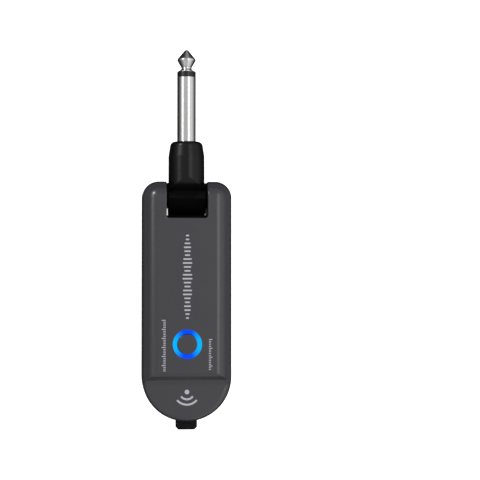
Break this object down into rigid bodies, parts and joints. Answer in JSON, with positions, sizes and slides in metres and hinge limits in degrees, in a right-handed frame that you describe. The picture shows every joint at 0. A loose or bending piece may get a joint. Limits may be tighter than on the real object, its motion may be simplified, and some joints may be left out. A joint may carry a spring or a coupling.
{
  "type": "wireless guitar transmitter",
  "caption": "Clip-sized wireless guitar transmitter with a swivelling 6.35 mm jack plug, lit push button and rubber charging-port cover.",
  "frame": {"origin": "under the middle of the overall box, on the plane that the case lies on", "axes": "+Z out of the front face, +Y along the plug from the case towards its tip, +X to the right seen from the front"},
  "size_m": [0.03, 0.1286, 0.0161],
  "materials": {
    "case": "fine satin paint over plastic, dark warm grey",
    "boot_plastic": "satin black",
    "barrel_plastic": "dead matt black, fine spark texture",
    "black_nylon": "semi-gloss black",
    "white_nylon": "natural white",
    "rubber": "black silicone, matt",
    "lit_ring": "translucent, lit blue from inside",
    "lamp": "clear resin over a chip",
    "label": "blank satin film",
    "steel": "black-zinc plated",
    "tinned_steel": "satin tin plate",
    "nickel": "polished nickel plate",
    "brass": "stamped, plain",
    "circuit_board": "green solder mask",
    "chip": "moulded epoxy",
    "ceramic": "unglazed",
    "foil": "laminated pouch foil",
    "foam": "closed-cell foam tape",
    "red_wire": "PVC",
    "black_wire": "PVC",
    "white_wire": "PVC"
  },
  "bodies": {
    "case": {"front_cover": "case", "back_cover": "case", "rating_label": "label", "friction_pads": "black_nylon", "hinge_saddle": "black_nylon", "case_screws": "steel", "light_ring": "lit_ring", "tact_switch_base": "black_nylon", "ring_leds": "lamp", "main_board": "circuit_board", "board_screws": "steel", "rf_shield": "tinned_steel", "radio_chip": "chip", "crystal": "tinned_steel", "audio_chip": "chip", "charger_chip": "chip", "power_inductor": "chip", "chip_antenna": "ceramic", "capacitors": "ceramic", "resistors": "chip", "usb_shell": "tinned_steel", "usb_tongue": "black_nylon", "battery_cell": "foil", "battery_pad": "foam", "battery_socket": "white_nylon", "battery_connector": "white_nylon", "battery_lead_plus": "red_wire", "battery_lead_minus": "black_wire", "signal_wire_case": "white_wire", "ground_wire_case": "black_wire"},
    "plug_boot": {"boot_front": "boot_plastic", "boot_back": "boot_plastic", "barrel_shell": "barrel_plastic", "boot_screws": "steel", "plug_sleeve": "nickel", "plug_tip": "nickel", "tip_insulator": "black_nylon", "rod_insulator": "black_nylon", "rear_insulator": "black_nylon", "tip_lug": "brass", "sleeve_lug": "brass", "signal_wire_boot": "white_wire", "ground_wire_boot": "black_wire"},
    "button": {"button_cap": "case", "switch_plunger": "black_nylon"},
    "port_plug": {"port_cover": "rubber"}
  },
  "joints": [
    {"name": "plug_swivel", "type": "hinge", "parent": "case", "child": "plug_boot", "pos_m": [0, 0.01322, 0.008], "axis": [1, 0, 0], "range_deg": [-90, 90]},
    {"name": "button_press", "type": "slide", "parent": "case", "child": "button", "axis": [0, 0, -1], "range_m": [0, 0.0004], "stiffness_N_per_m": 800},
    {"name": "port_cover_pull", "type": "slide", "parent": "case", "child": "port_plug", "axis": [0, -1, 0], "range_m": [0, 0.006]}
  ]
}
